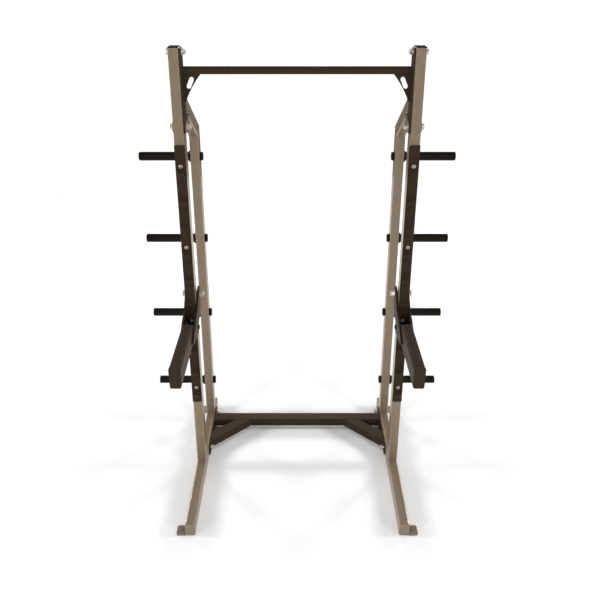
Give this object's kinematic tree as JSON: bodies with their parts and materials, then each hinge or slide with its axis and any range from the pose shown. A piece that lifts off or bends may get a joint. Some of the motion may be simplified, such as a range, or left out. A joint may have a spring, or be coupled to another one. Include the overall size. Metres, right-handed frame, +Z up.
{
  "type": "half rack",
  "caption": "Free-standing half rack with hooked front posts, a straight pull-up bar, plate storage horns and tilting spotter arms that hang on the hooks.",
  "frame": {"origin": "on the floor, under the middle of the whole rack's bounding box", "axes": "+Z up; -Y is the front, where the hooks and the spotter arms are; +X to the right seen from the front"},
  "size_m": [1.756, 1.2652, 2.3923],
  "materials": {
    "champagne_paint": "satin metallic powder coat",
    "bronze_paint": "satin dark bronze powder coat",
    "black_paint": "satin black powder coat",
    "black_plastic": "moulded, matt",
    "brown_plastic": "moulded, matt",
    "zinc": "bright zinc plate"
  },
  "bodies": {
    "frame": {"pull_up_bar": "bronze_paint", "cross_tube": "bronze_paint", "left_base_rail": "champagne_paint", "left_base_plug": "black_plastic", "left_front_foot": "champagne_paint", "left_rear_foot": "champagne_paint", "left_front_post": "champagne_paint", "left_post_cap": "black_plastic", "left_rear_post": "champagne_paint", "left_top_brace": "champagne_paint", "left_brace_bracket": "champagne_paint", "left_bar_plate": "bronze_paint", "left_bar_bolt": "zinc", "left_brace_bolt": "zinc", "left_bar_gusset": "bronze_paint", "left_rack_rail": "bronze_paint", "left_storage_horn_1": "black_paint", "left_storage_horn_2": "black_paint", "left_storage_horn_3": "black_paint", "left_storage_horn_4": "black_paint", "left_cross_plate": "bronze_paint", "left_cross_front_bolt": "zinc", "left_cross_rear_bolt": "zinc", "left_diagonal": "bronze_paint", "right_base_rail": "champagne_paint", "right_base_plug": "black_plastic", "right_front_foot": "champagne_paint", "right_rear_foot": "champagne_paint", "right_front_post": "champagne_paint", "right_post_cap": "black_plastic", "right_rear_post": "champagne_paint", "right_top_brace": "champagne_paint", "right_brace_bracket": "champagne_paint", "right_bar_plate": "bronze_paint", "right_bar_bolt": "zinc", "right_brace_bolt": "zinc", "right_bar_gusset": "bronze_paint", "right_rack_rail": "bronze_paint", "right_storage_horn_1": "black_paint", "right_storage_horn_2": "black_paint", "right_storage_horn_3": "black_paint", "right_storage_horn_4": "black_paint", "right_cross_plate": "bronze_paint", "right_cross_front_bolt": "zinc", "right_cross_rear_bolt": "zinc", "right_diagonal": "bronze_paint"},
    "left_arm_seat": {"left_arm_peg": "black_paint"},
    "left_arm": {"left_arm_tube": "bronze_paint", "left_arm_strip": "brown_plastic", "left_arm_cap": "brown_plastic", "left_arm_inner_plate": "bronze_paint", "left_arm_outer_plate": "bronze_paint", "left_arm_bolt": "zinc"},
    "right_arm_seat": {"right_arm_peg": "black_paint"},
    "right_arm": {"right_arm_tube": "bronze_paint", "right_arm_strip": "brown_plastic", "right_arm_cap": "brown_plastic", "right_arm_inner_plate": "bronze_paint", "right_arm_outer_plate": "bronze_paint", "right_arm_bolt": "zinc"}
  },
  "joints": [
    {"name": "left_arm_lift", "type": "slide", "parent": "frame", "child": "left_arm_seat", "axis": [0, 0, 1], "range_m": [0, 0.06]},
    {"name": "left_arm_tilt", "type": "hinge", "parent": "left_arm_seat", "child": "left_arm", "pos_m": [-0.5639, -0.06285, 0.9766], "axis": [-1, 0, 0], "range_deg": [0, 35]},
    {"name": "right_arm_lift", "type": "slide", "parent": "frame", "child": "right_arm_seat", "axis": [0, 0, 1], "range_m": [0, 0.06]},
    {"name": "right_arm_tilt", "type": "hinge", "parent": "right_arm_seat", "child": "right_arm", "pos_m": [0.5639, -0.06285, 0.9766], "axis": [-1, 0, 0], "range_deg": [0, 35]}
  ]
}
